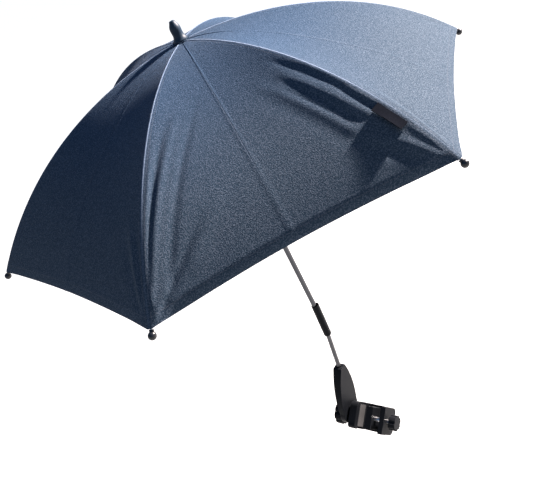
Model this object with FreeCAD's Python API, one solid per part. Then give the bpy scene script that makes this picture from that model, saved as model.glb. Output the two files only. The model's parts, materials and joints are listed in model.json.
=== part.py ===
import FreeCAD, Part
import math
import os

os.makedirs("parts", exist_ok=True)

Vector = FreeCAD.Vector
Rotation = FreeCAD.Rotation
Placement = FreeCAD.Placement

# Driving dimensions: lengths in millimetres, angles in degrees

# Clearances
running_clearance = 0.06
seat_clearance = 0.03
face_clearance = 0.05
side_clearance = 0.3
overrun = 5.0

# Canopy cover
rib_count = 6
canopy_radius = 350.0
canopy_depth = 159.0
rib_turn = 48.0
cloth_thickness = 0.8
cloth_clearance = 0.3
crease_gap = 0.4
cloth_hole_radius = 7.0
hem_rise = 2.0
crease_sag_share = 0.01
gore_dip = 9.0
cloth_station_count = 13
cloth_spread_shares = (0.0, 0.2, 0.45, 1.0)

# Flag label sewn into one seam
label_length = 37.0
label_width = 12.0
label_thickness = 0.8
label_seam_offset = 2.6
label_lift = 0.3
label_stand_angle = 16.0
label_place_share = 0.793
label_rib = 6

# Ribs
rib_width = 4.0
rib_height = 3.6
rib_wall = 0.6
rib_block_length = 9.0
rib_tab_height = 3.4
rib_eye_radius = 2.2
rib_stud_radius = 1.4
rib_joint_share = 0.42

# Rib tips
tip_ball_radius = 4.6
tip_neck_radius = 2.6
tip_neck_gap = 0.4
tip_reach = 6.6
tip_wall = 2.0

# Crown and its hinge wire
crown_radius = 15.0
crown_height = 9.5
crown_drop = 1.7
crown_slot_radius = 7.2
wire_radius = 0.6
wire_apothem = 10.0
wire_drop = 4.4

# Finial and rosette
finial_height = 26.0
finial_skirt_radius = 10.0
finial_skirt_height = 1.6
finial_body_radius = 7.1
finial_cheek_radius = 6.1
finial_nose_radius = 3.9
finial_spigot_length = 14.0
finial_waist_height_share = 0.26
finial_shoulder_height_share = 0.55
finial_cheek_height_share = 0.76
finial_nose_height_share = 0.93
rosette_radius = 12.0
rosette_thickness = 1.2

# Upper shaft
shaft_length = 511.0
shaft_radius = 4.0
shaft_wall = 0.8

# Stretchers and rivets
stretcher_height = 3.2
stretcher_thickness = 2.2
stretcher_headroom = 0.2
rivet_radius = 0.7
rivet_head_radius = 1.3
rivet_head_height = 0.5

# Runner
runner_drop = 150.0
runner_pivot_radius = 11.0
runner_flange_radius = 15.0
runner_flange_height = 8.0
runner_slot_radius = 8.6
runner_skirt_radius = 7.6
runner_skirt_length = 30.0

# Runner catch
catch_width = 2.4
catch_reach = 2.5
catch_height = 9.0
catch_leaf_thickness = 0.7
catch_leaf_length = 24.0

# Tilt joint
pole_kink = 6.0
tilt_end_gap = 7.0
tilt_plug_length = 20.0
tilt_half_width = 2.8
tilt_tongue_thickness = 2.6
tilt_slot_depth = 4.6
tilt_cheek_span = 6.4
tilt_pin_radius = 1.25

# Sliding sleeve over the tilt joint
sleeve_radius = 6.3
sleeve_wall = 0.9
sleeve_length = 64.0
sleeve_overlap = 12.0
sleeve_lean = 2.0
sleeve_offset = 0.65

# Lower pole
pole_radius = 3.7
pole_wall = 1.0
pole_bare_length = 74.0
foot_plug_length = 14.0
foot_flange_height = 2.0

# Holder
holder_height = 103.0
holder_top_width = 14.0
holder_top_thickness = 15.5
holder_foot_radius = 24.0
holder_edge_bow = 6.5
holder_foot_thickness = 9.5
holder_pole_offset = 12.0
holder_pivot_drop = 12.0
holder_socket_depth = 42.0
pivot_azimuth = -48.0

# Pivot stack
hex_sides = 6
bolt_radius = 3.0
bolt_head_flats = 10.0
bolt_head_height = 4.0
bolt_head_sink = 0.4
friction_disc_radius = 11.5
friction_disc_thickness = 4.15
washer_radius = 8.0
washer_thickness = 1.2
knob_radius = 21.0
knob_thickness = 12.0
knob_boss_radius = 9.5
knob_boss_height = 3.0
knob_cap = 3.0
knob_lobes = 8
knob_scallop_radius = 5.0
knob_scallop_depth = 1.8
insert_radius = 5.5

# Clamp
clamp_angle = 50.0
frame_tube_radius = 12.5
clamp_pad_thickness = 1.5
clamp_web = 7.0
clamp_length = 46.0
clamp_corner_radius = 9.0
clamp_lip_reach = 23.0
clamp_lip_gap = 8.0
clamp_spine_reach = 21.0
clamp_spine_thickness = 9.0
clamp_arm_reach = 14.0
clamp_arm_thickness = 8.5
clamp_pad_half_angle = 52.0

# Jaw, screw and nut
jaw_travel = 14.0
jaw_web = 3.5
jaw_edge_gap = 6.0
jaw_half_width = 14.0
jaw_end_inset = 4.0
jaw_pad_half_angle = 58.0
screw_radius = 4.0
screw_pin_radius = 2.5
screw_pin_length = 2.4
screw_knob_gap = 7.0
screw_knob_radius = 13.0
screw_knob_thickness = 12.0
screw_knob_lobes = 6
screw_knob_scallop_radius = 4.5
screw_knob_scallop_depth = 1.6
screw_knob_cap = 2.5
nut_flats = 13.0
nut_thickness = 5.0

# Arc of the cloth's outer face above a rib, from the shaft axis to the cloth's corner
half_step = math.pi / rib_count
turn = math.radians(rib_turn)
cloth_chord = math.hypot(canopy_radius, canopy_depth)
arc_radius = cloth_chord / (2 * math.sin(turn / 2))
arc_start = math.atan2(canopy_depth, canopy_radius) - turn / 2
arc_length = arc_radius * turn
rib_depth = cloth_thickness + cloth_clearance
rib_axis_depth = rib_depth + rib_height / 2
crown_top = shaft_length - crown_drop
wire_height = shaft_length - wire_drop


def arc_angle(share):
    """Slope of the arc at a share of its length."""
    return arc_start + turn * share


def arc_point(share, depth):
    """Point at a depth under the cloth's outer face, in the plane of a rib along +X."""
    slope = arc_angle(share)
    reach = (arc_radius - depth) * math.sin(slope) - arc_radius * math.sin(arc_start)
    rise = (arc_radius - depth) * math.cos(slope) - arc_radius * math.cos(arc_start)
    return Vector(reach, 0, shaft_length + rise)


def share_at_reach(reach):
    """Share of the arc at which its outer face is a given distance from the shaft axis."""
    slope = math.asin(math.sin(arc_start) + reach / arc_radius)
    return (slope - arc_start) / turn


cloth_top = arc_point(max(0, -arc_start / turn), 0).z

# Frames of the leaning pieces, with the row's origin in the middle of the clamped tube
tilt_turn = Rotation(Vector(0, 1, 0), pole_kink)
pole_up = tilt_turn.multVec(Vector(0, 0, 1))
pivot_heading = Rotation(Vector(0, 0, 1), pivot_azimuth).multVec(Vector(1, 0, 0))
pivot_axis = (pivot_heading - pole_up * pivot_heading.dot(pole_up)).normalize()
holder_side = pivot_axis.cross(pole_up)
tube_axis = Rotation(pivot_axis, -clamp_angle).multVec(pole_up)
tube_side = pivot_axis.cross(tube_axis)

seat_radius = frame_tube_radius + clamp_pad_thickness
clamp_back = seat_radius + clamp_web
fin_face = holder_foot_thickness / 2
pivot_to_tube = fin_face + face_clearance + friction_disc_thickness + clamp_back
holder_to_tilt = holder_height + pole_bare_length + sleeve_overlap

pivot_place = pivot_axis * -pivot_to_tube
tilt_place = pivot_place + pole_up * holder_to_tilt - holder_side * holder_pole_offset

shaft_frame = Placement(tilt_place, Rotation())
pole_frame = Placement(tilt_place, tilt_turn)
holder_frame = Placement(pivot_place, Rotation(holder_side, pivot_axis, pole_up, "ZYX"))
clamp_frame = Placement(Vector(0, 0, 0), Rotation(tube_side, pivot_axis, tube_axis, "ZYX"))

# Places along the shaft, measured up from the tilt pin
rib_pin_depth = rib_depth + rib_wall + stretcher_headroom + stretcher_height / 2
rib_pin_place = arc_point(rib_joint_share, rib_pin_depth)
runner_height = shaft_length - runner_drop
runner_pin_place = Vector(runner_pivot_radius, 0, runner_height)
runner_top = runner_height + runner_flange_height / 2
runner_bottom = runner_top - runner_flange_height - runner_skirt_length
catch_top = runner_bottom - side_clearance


def rod(radius, bottom, top):
    """Round bar along Z."""
    return Part.makeCylinder(radius, top - bottom, Vector(0, 0, bottom))


def pipe(outer, inner, bottom, top):
    """Tube along Z."""
    return rod(outer, bottom, top).cut(rod(inner, bottom - overrun, top + overrun))


def cross_rod(radius, half_length, place):
    """Round bar along Y, centred on a place."""
    start = Vector(place.x, place.y - half_length, place.z)
    return Part.makeCylinder(radius, 2 * half_length, start, Vector(0, 1, 0))


def block(low, high):
    """Box between two corners."""
    size = high - low
    return Part.makeBox(size.x, size.y, size.z, low)


def prism_xz(points, half_thickness):
    """Outline in the XZ plane, given as (x, z), thickened evenly along Y."""
    corners = [Vector(x, -half_thickness, z) for x, z in points]
    face = Part.Face(Part.makePolygon(corners + corners[:1]))
    return face.extrude(Vector(0, 2 * half_thickness, 0))


def prism_xy(points, bottom, top):
    """Outline in the XY plane, given as (x, y), raised along Z."""
    corners = [Vector(x, y, bottom) for x, y in points]
    face = Part.Face(Part.makePolygon(corners + corners[:1]))
    return face.extrude(Vector(0, 0, top - bottom))


def regular_prism(apothem, sides, bottom, top):
    """Regular prism along Z with a flat side facing +X."""
    corner = apothem / math.cos(math.pi / sides)
    steps = [2 * math.pi * (i + 1 / 2) / sides for i in range(sides)]
    return prism_xy([(corner * math.cos(a), corner * math.sin(a)) for a in steps], bottom, top)


def along_y(shape):
    """Turn a piece built along +Z so that it runs along +Y."""
    return shape.rotated(Vector(0, 0, 0), Vector(1, 0, 0), -90)


def around(shape, index, count):
    """Turn a copy to one place of an even ring about the Z axis."""
    return shape.rotated(Vector(0, 0, 0), Vector(0, 0, 1), 360 * index / count)


def ring_of(shape, count):
    """Copies of a shape, evenly around the Z axis."""
    return [around(shape, index, count) for index in range(count)]


def moved(shape, frame):
    """Rigid copy of a shape in another frame."""
    copy = shape.copy()
    copy.Placement = frame.multiply(copy.Placement)
    return copy


def lobed_disc(radius, bottom, top, lobes, scallop_radius, scallop_depth):
    """Grip disc along Z with scallops around its rim."""
    centre = radius + scallop_radius - scallop_depth
    scallop = rod(scallop_radius, bottom - overrun, top + overrun)
    scallop.translate(Vector(centre, 0, 0))
    return rod(radius, bottom, top).cut(ring_of(scallop, lobes))


# Canopy

crown_share = share_at_reach(crown_radius)


def cloth_point(share, side, spread, depth):
    """Point of one leaf: spread 0 lies beside the rib, 1 on the crease, on side -1 or 1."""
    draw = 1 - (1 - spread) ** 2
    free_share = max(0, (share - crown_share) / (1 - crown_share))
    dip = gore_dip * draw * math.sin(math.pi * free_share) ** 2
    on_rib = arc_point(share * (1 - draw * hem_rise / arc_length), depth + dip)
    reach = on_rib.x * (1 - crease_sag_share * draw)
    along = reach * (1 - spread * math.sin(half_step) ** 2)
    flat = rib_width / 2 + cloth_clearance
    crease = reach * math.cos(half_step) * math.sin(half_step) - crease_gap / (2 * math.cos(half_step))
    return Vector(along, side * (flat + spread * (crease - flat)), on_rib.z)


def cloth_curve(side, spread, depth):
    """Edge that runs from the crown to the hem at one spread from the rib."""
    first = share_at_reach(cloth_hole_radius)
    steps = [first + (1 - first) * i / (cloth_station_count - 1) for i in range(cloth_station_count)]
    curve = Part.BSplineCurve()
    curve.interpolate([cloth_point(share, side, spread, depth) for share in steps])
    return curve.toShape()


def edge_end(edge, last):
    """First or last point of an edge."""
    return edge.valueAt(edge.LastParameter if last else edge.FirstParameter)


def canopy_leaf():
    """Cloth carried by one rib, from crease to crease and flat over the rib."""
    lines = [(-1, spread) for spread in reversed(cloth_spread_shares)]
    lines += [(1, spread) for spread in cloth_spread_shares]
    outer = [cloth_curve(side, spread, 0) for side, spread in lines]
    inner = [cloth_curve(side, spread, cloth_thickness) for side, spread in lines]
    faces = [Part.makeRuledSurface(outer[0], inner[0]), Part.makeRuledSurface(outer[-1], inner[-1])]
    for i in range(len(lines) - 1):
        faces.append(Part.makeRuledSurface(outer[i], outer[i + 1]))
        faces.append(Part.makeRuledSurface(inner[i], inner[i + 1]))
        for last in (False, True):
            top = Part.makeLine(edge_end(outer[i], last), edge_end(outer[i + 1], last))
            under = Part.makeLine(edge_end(inner[i], last), edge_end(inner[i + 1], last))
            faces.append(Part.makeRuledSurface(top, under))
    shell = Part.makeShell(faces)
    shell.sewShape()
    leaf = Part.Solid(shell)
    if leaf.Volume < 0:
        leaf.reverse()
    return leaf


def flag_label():
    """Blank label that stands out from the seam, on the side of the rib before it."""
    half_share = label_length / (2 * arc_length)
    seam = cloth_point(label_place_share, -1, 0, 0)
    beside = cloth_point(label_place_share, -1, 1 / 2, 0)
    onward = cloth_point(label_place_share + half_share, -1, 0, 0)
    before = cloth_point(label_place_share - half_share, -1, 0, 0)
    down = (onward - before).normalize()
    along_cloth = beside - seam
    along_cloth = (along_cloth - down * along_cloth.dot(down)).normalize()
    root = seam + along_cloth * label_seam_offset + along_cloth.cross(down) * label_lift
    across = Rotation(down, -label_stand_angle).multVec(along_cloth)
    flat = block(Vector(0, 0, 0), Vector(label_width, label_length, label_thickness))
    corner = root - down * (label_length / 2)
    return moved(flat, Placement(corner, Rotation(across, down, across.cross(down), "ZYX")))


# Ribs, tips, rivets and stretchers, all in the plane of a rib along +X

def arc_sweep(profile, first_share, last_share):
    """Sweep a section, given as (y, depth), along the rib's arc."""
    corners = [Vector(0, y, arc_radius - depth) for y, depth in profile]
    face = Part.Face(Part.makePolygon(corners + corners[:1]))
    centre = Vector(0, 0, 0)
    face.rotate(centre, Vector(0, 1, 0), math.degrees(arc_angle(first_share)))
    swept = face.revolve(centre, Vector(0, 1, 0), rib_turn * (last_share - first_share))
    drop = arc_radius * math.cos(arc_start)
    swept.translate(Vector(-arc_radius * math.sin(arc_start), 0, shaft_length - drop))
    return swept


def rib():
    """U-section rib with a hinge eye at the crown and a stud at the tip."""
    half = rib_width / 2
    foot = rib_depth + rib_height
    web = rib_depth + rib_wall
    channel = [(-half, rib_depth), (half, rib_depth), (half, foot), (half - rib_wall, foot),
               (half - rib_wall, web), (rib_wall - half, web), (rib_wall - half, foot), (-half, foot)]
    solid = [(-half, rib_depth), (half, rib_depth), (half, foot), (-half, foot)]
    block_share = rib_block_length / arc_length
    first = share_at_reach(crown_radius + side_clearance)
    inner_end = first + block_share
    outer_end = 1 - block_share
    body = arc_sweep(channel, inner_end, outer_end)
    body = body.fuse([arc_sweep(solid, first, inner_end), arc_sweep(solid, outer_end, 1)])
    top = arc_point(inner_end, rib_depth)
    under = arc_point(inner_end, foot)
    tab = prism_xz([(wire_apothem, wire_height + rib_tab_height / 2), (top.x, top.z),
                    (under.x, under.z), (wire_apothem, wire_height - rib_tab_height / 2)], half)
    eye_place = Vector(wire_apothem, 0, wire_height)
    body = body.fuse([tab, cross_rod(rib_eye_radius, half, eye_place), tip_frame_rod()])
    holes = [cross_rod(wire_radius + running_clearance, half + overrun, eye_place),
             cross_rod(rivet_radius + seat_clearance, half + overrun, rib_pin_place)]
    return body.cut(holes).removeSplitter()


def tip_frame():
    """Frame at the rib's end, with Z running on outwards along the rib."""
    lean = 90 + math.degrees(arc_angle(1))
    return Placement(arc_point(1, rib_axis_depth), Rotation(Vector(0, 1, 0), lean))


def tip_frame_rod():
    """Stud at the end of the rib that the ball tip sits on."""
    stud_end = tip_reach + tip_ball_radius - tip_wall
    return moved(rod(rib_stud_radius, -rib_stud_radius, stud_end), tip_frame())


def rib_tip():
    """Ball tip with a short neck, bored for the rib's stud."""
    ball = Part.makeSphere(tip_ball_radius, Vector(0, 0, tip_reach))
    neck = rod(tip_neck_radius, tip_neck_gap, tip_reach)
    hole_end = tip_reach + tip_ball_radius - tip_wall + face_clearance
    hole = rod(rib_stud_radius + seat_clearance, -overrun, hole_end)
    return moved(ball.fuse(neck).cut(hole).removeSplitter(), tip_frame())


def rib_rivet():
    """Rivet through the rib's walls, on which the stretcher turns."""
    half = rib_width / 2
    pin = cross_rod(rivet_radius, half + face_clearance, rib_pin_place)
    reach = half + face_clearance + rivet_head_height / 2
    heads = [cross_rod(rivet_head_radius, rivet_head_height / 2, rib_pin_place + Vector(0, side * reach, 0))
             for side in (-1, 1)]
    return pin.fuse(heads).removeSplitter()


def stretcher():
    """Flat bar from the rib's rivet to the runner, round-ended and pierced at both ends."""
    along = (rib_pin_place - runner_pin_place).normalize()
    across = Vector(0, 1, 0).cross(along) * (stretcher_height / 2)
    reach = along * (stretcher_height / 2)
    ends = (runner_pin_place, rib_pin_place)
    sides = [Part.makeLine(ends[0] + across, ends[1] + across),
             Part.Arc(ends[1] + across, ends[1] + reach, ends[1] - across).toShape(),
             Part.makeLine(ends[1] - across, ends[0] - across),
             Part.Arc(ends[0] - across, ends[0] - reach, ends[0] + across).toShape()]
    face = Part.Face(Part.Wire(sides))
    face.translate(Vector(0, -stretcher_thickness / 2, 0))
    bar = face.extrude(Vector(0, stretcher_thickness, 0))
    hole = rivet_radius + running_clearance
    return bar.cut([cross_rod(hole, stretcher_thickness, end) for end in ends])


# Crown, wire, finial and rosette

def crown():
    """Slotted disc fixed on the shaft's top, with a groove for the hinge wire."""
    disc = pipe(crown_radius, shaft_radius + seat_clearance, crown_top - crown_height, crown_top)
    half_slot = rib_width / 2 + side_clearance
    slot = block(Vector(crown_slot_radius, -half_slot, crown_top - crown_height - overrun),
                 Vector(crown_radius + overrun, half_slot, crown_top + overrun))
    half_groove = wire_radius + face_clearance
    core = wire_apothem - half_groove
    groove = rod(crown_radius + overrun, wire_height - half_groove, wire_height + half_groove)
    groove = groove.cut(regular_prism(core, rib_count, shaft_length - crown_height - overrun,
                                      shaft_length + overrun))
    return disc.cut(ring_of(slot, rib_count)).cut(groove).removeSplitter()


def crown_wire():
    """Hinge wire bent round the crown, straight where it passes through each rib's eye."""
    corner = wire_apothem / math.cos(half_step)
    start = Vector(wire_apothem, 0, wire_height)
    bends = [around(Part.Vertex(corner, 0, wire_height), index + 1 / 2, rib_count).Point
             for index in range(rib_count)]
    path = Part.makePolygon([start] + bends + [start])
    section = Part.Wire(Part.makeCircle(wire_radius, start, Vector(0, 1, 0)))
    mitred = 1
    return path.makePipeShell([section], True, False, mitred)


def finial():
    """Bullet cap above the rosette, with a spigot down into the shaft."""
    base = cloth_top + rosette_thickness
    top = base + finial_height
    skirt = base + finial_skirt_height
    waist = base + finial_height * finial_waist_height_share
    shoulder = base + finial_height * finial_shoulder_height_share
    cheek = base + finial_height * finial_cheek_height_share
    nose = base + finial_height * finial_nose_height_share
    spigot = shaft_radius - shaft_wall - seat_clearance
    start = crown_top - finial_spigot_length

    def at(radius, height):
        return Vector(radius, 0, height)

    bullet = Part.BSplineCurve()
    bullet.interpolate(Points=[at(finial_skirt_radius, skirt), at(finial_body_radius, waist),
                               at(finial_body_radius, shoulder), at(finial_cheek_radius, cheek),
                               at(finial_nose_radius, nose), at(0, top)],
                       InitialTangent=Vector(-1, 0, 1), FinalTangent=Vector(-1, 0, 0))
    outline = [Part.makeLine(at(0, start), at(spigot, start)),
               Part.makeLine(at(spigot, start), at(spigot, base)),
               Part.makeLine(at(spigot, base), at(finial_skirt_radius, base)),
               Part.makeLine(at(finial_skirt_radius, base), at(finial_skirt_radius, skirt)),
               bullet.toShape(), Part.makeLine(at(0, top), at(0, start))]
    return Part.Face(Part.Wire(outline)).revolve(Vector(0, 0, 0), Vector(0, 0, 1), 360)


def rosette():
    """Gathered cloth ring between the finial and the cover."""
    hole = shaft_radius - shaft_wall
    return pipe(rosette_radius, hole, cloth_top + face_clearance, cloth_top + rosette_thickness)


# Shaft, runner, catch and tilt joint

def catch_leaf_face():
    """Distance of the catch's leaf from the shaft axis, just inside the tube's wall."""
    return math.sqrt((shaft_radius - shaft_wall) ** 2 - (catch_width / 2) ** 2) - side_clearance


def shaft_tube():
    """Upper shaft with the window for the runner's catch."""
    half = catch_width / 2 + side_clearance
    window = block(Vector(0, -half, catch_top - catch_height - side_clearance),
                   Vector(shaft_radius + overrun, half, catch_top + side_clearance))
    return pipe(shaft_radius, shaft_radius - shaft_wall, tilt_end_gap, crown_top).cut(window)


def runner_catch():
    """Spring leaf inside the shaft with a tooth that stands under the runner."""
    face = catch_leaf_face()
    leaf = block(Vector(face - catch_leaf_thickness, -catch_width / 2, catch_top - catch_leaf_length),
                 Vector(face, catch_width / 2, catch_top))
    tooth = prism_xz([(face - catch_leaf_thickness, catch_top), (shaft_radius + catch_reach, catch_top),
                      (shaft_radius, catch_top - catch_height),
                      (face - catch_leaf_thickness, catch_top - catch_height)], catch_width / 2)
    return leaf.fuse(tooth).removeSplitter()


def runner():
    """Slider with a slotted flange for the stretchers."""
    flange = rod(runner_flange_radius, runner_top - runner_flange_height, runner_top)
    skirt = rod(runner_skirt_radius, runner_bottom, runner_top)
    half_slot = stretcher_thickness / 2 + side_clearance
    slot = block(Vector(runner_slot_radius, -half_slot, runner_bottom),
                 Vector(runner_flange_radius + overrun, half_slot, runner_top + overrun))
    bore = rod(shaft_radius + running_clearance, runner_bottom - overrun, runner_top + overrun)
    return flange.cut(ring_of(slot, rib_count)).fuse(skirt).cut(bore).removeSplitter()


def tilt_tongue():
    """Plug in the shaft's lower end with a flat tongue down to the tilt pin."""
    plug = rod(shaft_radius - shaft_wall - seat_clearance, tilt_end_gap, tilt_end_gap + tilt_plug_length)
    half = tilt_tongue_thickness / 2
    flat = block(Vector(-tilt_half_width, -half, 0), Vector(tilt_half_width, half, tilt_end_gap))
    nose = cross_rod(tilt_half_width, half, Vector(0, 0, 0))
    hole = cross_rod(tilt_pin_radius + running_clearance, half + overrun, Vector(0, 0, 0))
    return plug.fuse([flat, nose]).cut(hole).removeSplitter()


def tilt_fork():
    """Plug in the lower pole's top with two cheeks around the tongue."""
    half = tilt_cheek_span / 2
    plug = rod(pole_radius - pole_wall - seat_clearance, -tilt_end_gap - tilt_plug_length, -tilt_end_gap)
    collar = rod(pole_radius, -tilt_end_gap, -tilt_slot_depth)
    cheeks = block(Vector(-tilt_half_width, -half, -tilt_slot_depth), Vector(tilt_half_width, half, 0))
    nose = cross_rod(tilt_half_width, half, Vector(0, 0, 0))
    gap = tilt_tongue_thickness / 2 + running_clearance
    slot = block(Vector(-tilt_half_width - overrun, -gap, -tilt_slot_depth),
                 Vector(tilt_half_width + overrun, gap, tilt_half_width + overrun))
    hole = cross_rod(tilt_pin_radius + seat_clearance, half + overrun, Vector(0, 0, 0))
    return plug.fuse([collar, cheeks.fuse(nose).cut([slot, hole])]).removeSplitter()


def tilt_pin():
    """Pin through the fork and the tongue."""
    return cross_rod(tilt_pin_radius, tilt_cheek_span / 2, Vector(0, 0, 0))


def tilt_sleeve():
    """Loose sleeve that covers the tilt joint and leans in the kink between the two tubes."""
    tube = pipe(sleeve_radius, sleeve_radius - sleeve_wall, -sleeve_overlap, sleeve_length - sleeve_overlap)
    return moved(tube, Placement(Vector(-sleeve_offset, 0, 0), Rotation(Vector(0, 1, 0), sleeve_lean)))


pole_foot = -(sleeve_overlap + pole_bare_length + holder_socket_depth) + face_clearance


def lower_pole():
    """Lower tube from the tilt joint down into the holder's socket."""
    return pipe(pole_radius, pole_radius - pole_wall, pole_foot + foot_flange_height, -tilt_end_gap)


def foot_plug():
    """Plug that closes the lower pole's end."""
    flange = rod(pole_radius, pole_foot, pole_foot + foot_flange_height)
    plug = rod(pole_radius - pole_wall - seat_clearance, pole_foot, pole_foot + foot_plug_length)
    return flange.fuse(plug).removeSplitter()


# Holder and pivot stack, with the pivot at the origin and the pole along +Z

foot_centre = Vector(0, 0, holder_pivot_drop)


def bowed_edge(corner_x, side):
    """Curved edge of the fin, from a top corner to where it meets the foot's round."""
    rise = holder_height - holder_pivot_drop
    swing = math.acos(holder_foot_radius / math.hypot(corner_x, rise))
    turned = math.atan2(corner_x, rise) + side * swing
    corner = Vector(corner_x, 0, holder_height)
    foot = foot_centre + Vector(math.sin(turned), 0, math.cos(turned)) * holder_foot_radius
    outward = Vector(0, 1, 0).cross(foot - corner).normalize() * -side
    middle = (corner + foot) / 2 + outward * holder_edge_bow
    return Part.Arc(corner, middle, foot).toShape(), corner, foot


def pole_holder():
    """Wedge-shaped fin: socket for the pole above, pivot hole below."""
    left_edge, left_corner, left_foot = bowed_edge(-holder_pole_offset - holder_top_width / 2, -1)
    right_edge, right_corner, right_foot = bowed_edge(-holder_pole_offset + holder_top_width / 2, 1)
    outline = Part.Wire(Part.__sortEdges__([
        Part.makeLine(left_corner, right_corner), right_edge, Part.makeLine(right_foot, foot_centre),
        Part.makeLine(foot_centre, left_foot), left_edge]))
    half_top = holder_top_thickness / 2
    face = Part.Face(outline)
    face.translate(Vector(0, -half_top, 0))
    fin = face.extrude(Vector(0, holder_top_thickness, 0))
    fin = fin.fuse(cross_rod(holder_foot_radius, half_top, foot_centre))
    taper = [(-half_top, holder_height), (half_top, holder_height),
             (fin_face, holder_foot_radius), (fin_face, -holder_foot_radius),
             (-fin_face, -holder_foot_radius), (-fin_face, holder_foot_radius)]
    wedge = prism_xz(taper, holder_height)
    wedge.rotate(Vector(0, 0, 0), Vector(0, 0, 1), 90)
    socket_end = holder_height - holder_socket_depth
    socket = rod(pole_radius + running_clearance, socket_end, holder_height + overrun)
    socket.translate(Vector(-holder_pole_offset, 0, 0))
    hole = cross_rod(bolt_radius + running_clearance, half_top + overrun, Vector(0, 0, 0))
    return fin.common(wedge).cut([socket, hole]).removeSplitter()


washer_face = -fin_face - washer_thickness
knob_face = washer_face - face_clearance
knob_rim = knob_face - knob_boss_height
knob_end = knob_rim - knob_thickness
bolt_end = knob_end + knob_cap + face_clearance


def pivot_washer():
    """Washer between the knob and the fin."""
    return along_y(pipe(washer_radius, bolt_radius + running_clearance, washer_face, -fin_face))


def pivot_knob():
    """Lobed knob with a boss and a blind hole for its threaded insert."""
    disc = lobed_disc(knob_radius, knob_end, knob_rim, knob_lobes, knob_scallop_radius, knob_scallop_depth)
    boss = rod(knob_boss_radius, knob_rim, knob_face)
    hole = rod(insert_radius + seat_clearance, knob_end + knob_cap, knob_face + overrun)
    return along_y(disc.fuse(boss).cut(hole).removeSplitter())


def knob_insert():
    """Threaded bush held in the knob."""
    return along_y(pipe(insert_radius, bolt_radius + running_clearance, knob_end + knob_cap, knob_face))


# Clamp, with the clamped tube along +Z through the origin and the pivot along Y

jaw_back = seat_radius + jaw_web
arm_face = jaw_back + jaw_travel
arm_outside = arm_face + clamp_arm_thickness
spine_out = -clamp_spine_reach - clamp_spine_thickness
bolt_head_top = -seat_radius - bolt_head_sink
bolt_head_base = bolt_head_top - bolt_head_height


def clamp_outline():
    """Section of the hook: seat plate, spine and outer arm."""
    return [(spine_out, -clamp_back), (clamp_lip_reach, -clamp_back), (clamp_lip_reach, -clamp_lip_gap),
            (-clamp_spine_reach, -clamp_lip_gap), (-clamp_spine_reach, arm_face),
            (clamp_arm_reach, arm_face), (clamp_arm_reach, arm_outside), (spine_out, arm_outside)]


def rounded_plate(low_x, high_x, half_z, radius, half_y):
    """Plate in the XZ plane with round corners, thickened along Y."""
    wide = block(Vector(low_x, -half_y, radius - half_z), Vector(high_x, half_y, half_z - radius))
    tall = block(Vector(low_x + radius, -half_y, -half_z), Vector(high_x - radius, half_y, half_z))
    corners = [cross_rod(radius, half_y, Vector(x, 0, z))
               for x in (low_x + radius, high_x - radius) for z in (radius - half_z, half_z - radius)]
    return wide.fuse([tall] + corners).removeSplitter()


def clamp_body():
    """Hook that holds the tube between its seat and the jaw."""
    half = clamp_length / 2
    hook = prism_xy(clamp_outline(), -half, half)
    trim = rounded_plate(spine_out, clamp_lip_reach, half, clamp_corner_radius, arm_outside + overrun)
    seat = rod(seat_radius, -half - overrun, half + overrun)
    bolt_hole = along_y(rod(bolt_radius + seat_clearance, -clamp_back - overrun, 0))
    pocket = along_y(regular_prism(bolt_head_flats / 2 + seat_clearance, hex_sides, bolt_head_base, 0))
    screw_hole = along_y(rod(screw_radius + side_clearance, arm_face - overrun, arm_outside + overrun))
    nut_pocket = along_y(regular_prism(nut_flats / 2 + seat_clearance, hex_sides, arm_face - overrun,
                                       arm_face + nut_thickness))
    return hook.common(trim).cut([seat, bolt_hole, pocket, screw_hole, nut_pocket]).removeSplitter()


def seat_pad(half_angle, half_length, heading):
    """Rubber lining of a round seat, centred on a heading in the XY plane."""
    lining = pipe(seat_radius - seat_clearance, frame_tube_radius, -half_length, half_length)
    reach = 2 * seat_radius
    corner = reach * math.tan(math.radians(half_angle))
    wedge = prism_xy([(0, 0), (-corner, heading * reach), (corner, heading * reach)],
                     -half_length - overrun, half_length + overrun)
    return lining.common(wedge)


def clamp_pad():
    """Pad in the fixed seat."""
    return seat_pad(clamp_pad_half_angle, clamp_length / 2 - jaw_end_inset, -1)


def pivot_bolt():
    """Hex-headed bolt from the seat plate through the fin into the knob."""
    head = regular_prism(bolt_head_flats / 2, hex_sides, bolt_head_base, bolt_head_top)
    shank = rod(bolt_radius, bolt_end - pivot_to_tube, bolt_head_base)
    return along_y(head.fuse(shank).removeSplitter())


def friction_disc():
    """Disc between the fin and the seat plate."""
    return along_y(pipe(friction_disc_radius, bolt_radius + seat_clearance,
                        -clamp_back - friction_disc_thickness, -clamp_back))


def moving_jaw():
    """Jaw guided by the spine, hollowed for its pad and bored for the screw's end."""
    half = clamp_length / 2 - jaw_end_inset
    plate = block(Vector(-clamp_spine_reach + face_clearance, jaw_edge_gap, -half),
                  Vector(jaw_half_width, jaw_back, half))
    seat = rod(seat_radius, -half - overrun, half + overrun)
    hole = along_y(rod(screw_pin_radius + running_clearance, jaw_back - screw_pin_length - face_clearance,
                       jaw_back + overrun))
    return plate.cut([seat, hole])


def jaw_pad():
    """Pad on the moving jaw."""
    return seat_pad(jaw_pad_half_angle, clamp_length / 2 - jaw_end_inset, 1)


screw_knob_face = arm_outside + screw_knob_gap
screw_knob_end = screw_knob_face + screw_knob_thickness
screw_end = screw_knob_end - screw_knob_cap


def clamp_screw():
    """Screw through the outer arm, with a pin that turns in the jaw."""
    shank = rod(screw_radius, jaw_back + face_clearance, screw_end)
    pin = rod(screw_pin_radius, jaw_back - screw_pin_length, jaw_back + face_clearance)
    return along_y(shank.fuse(pin).removeSplitter())


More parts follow.
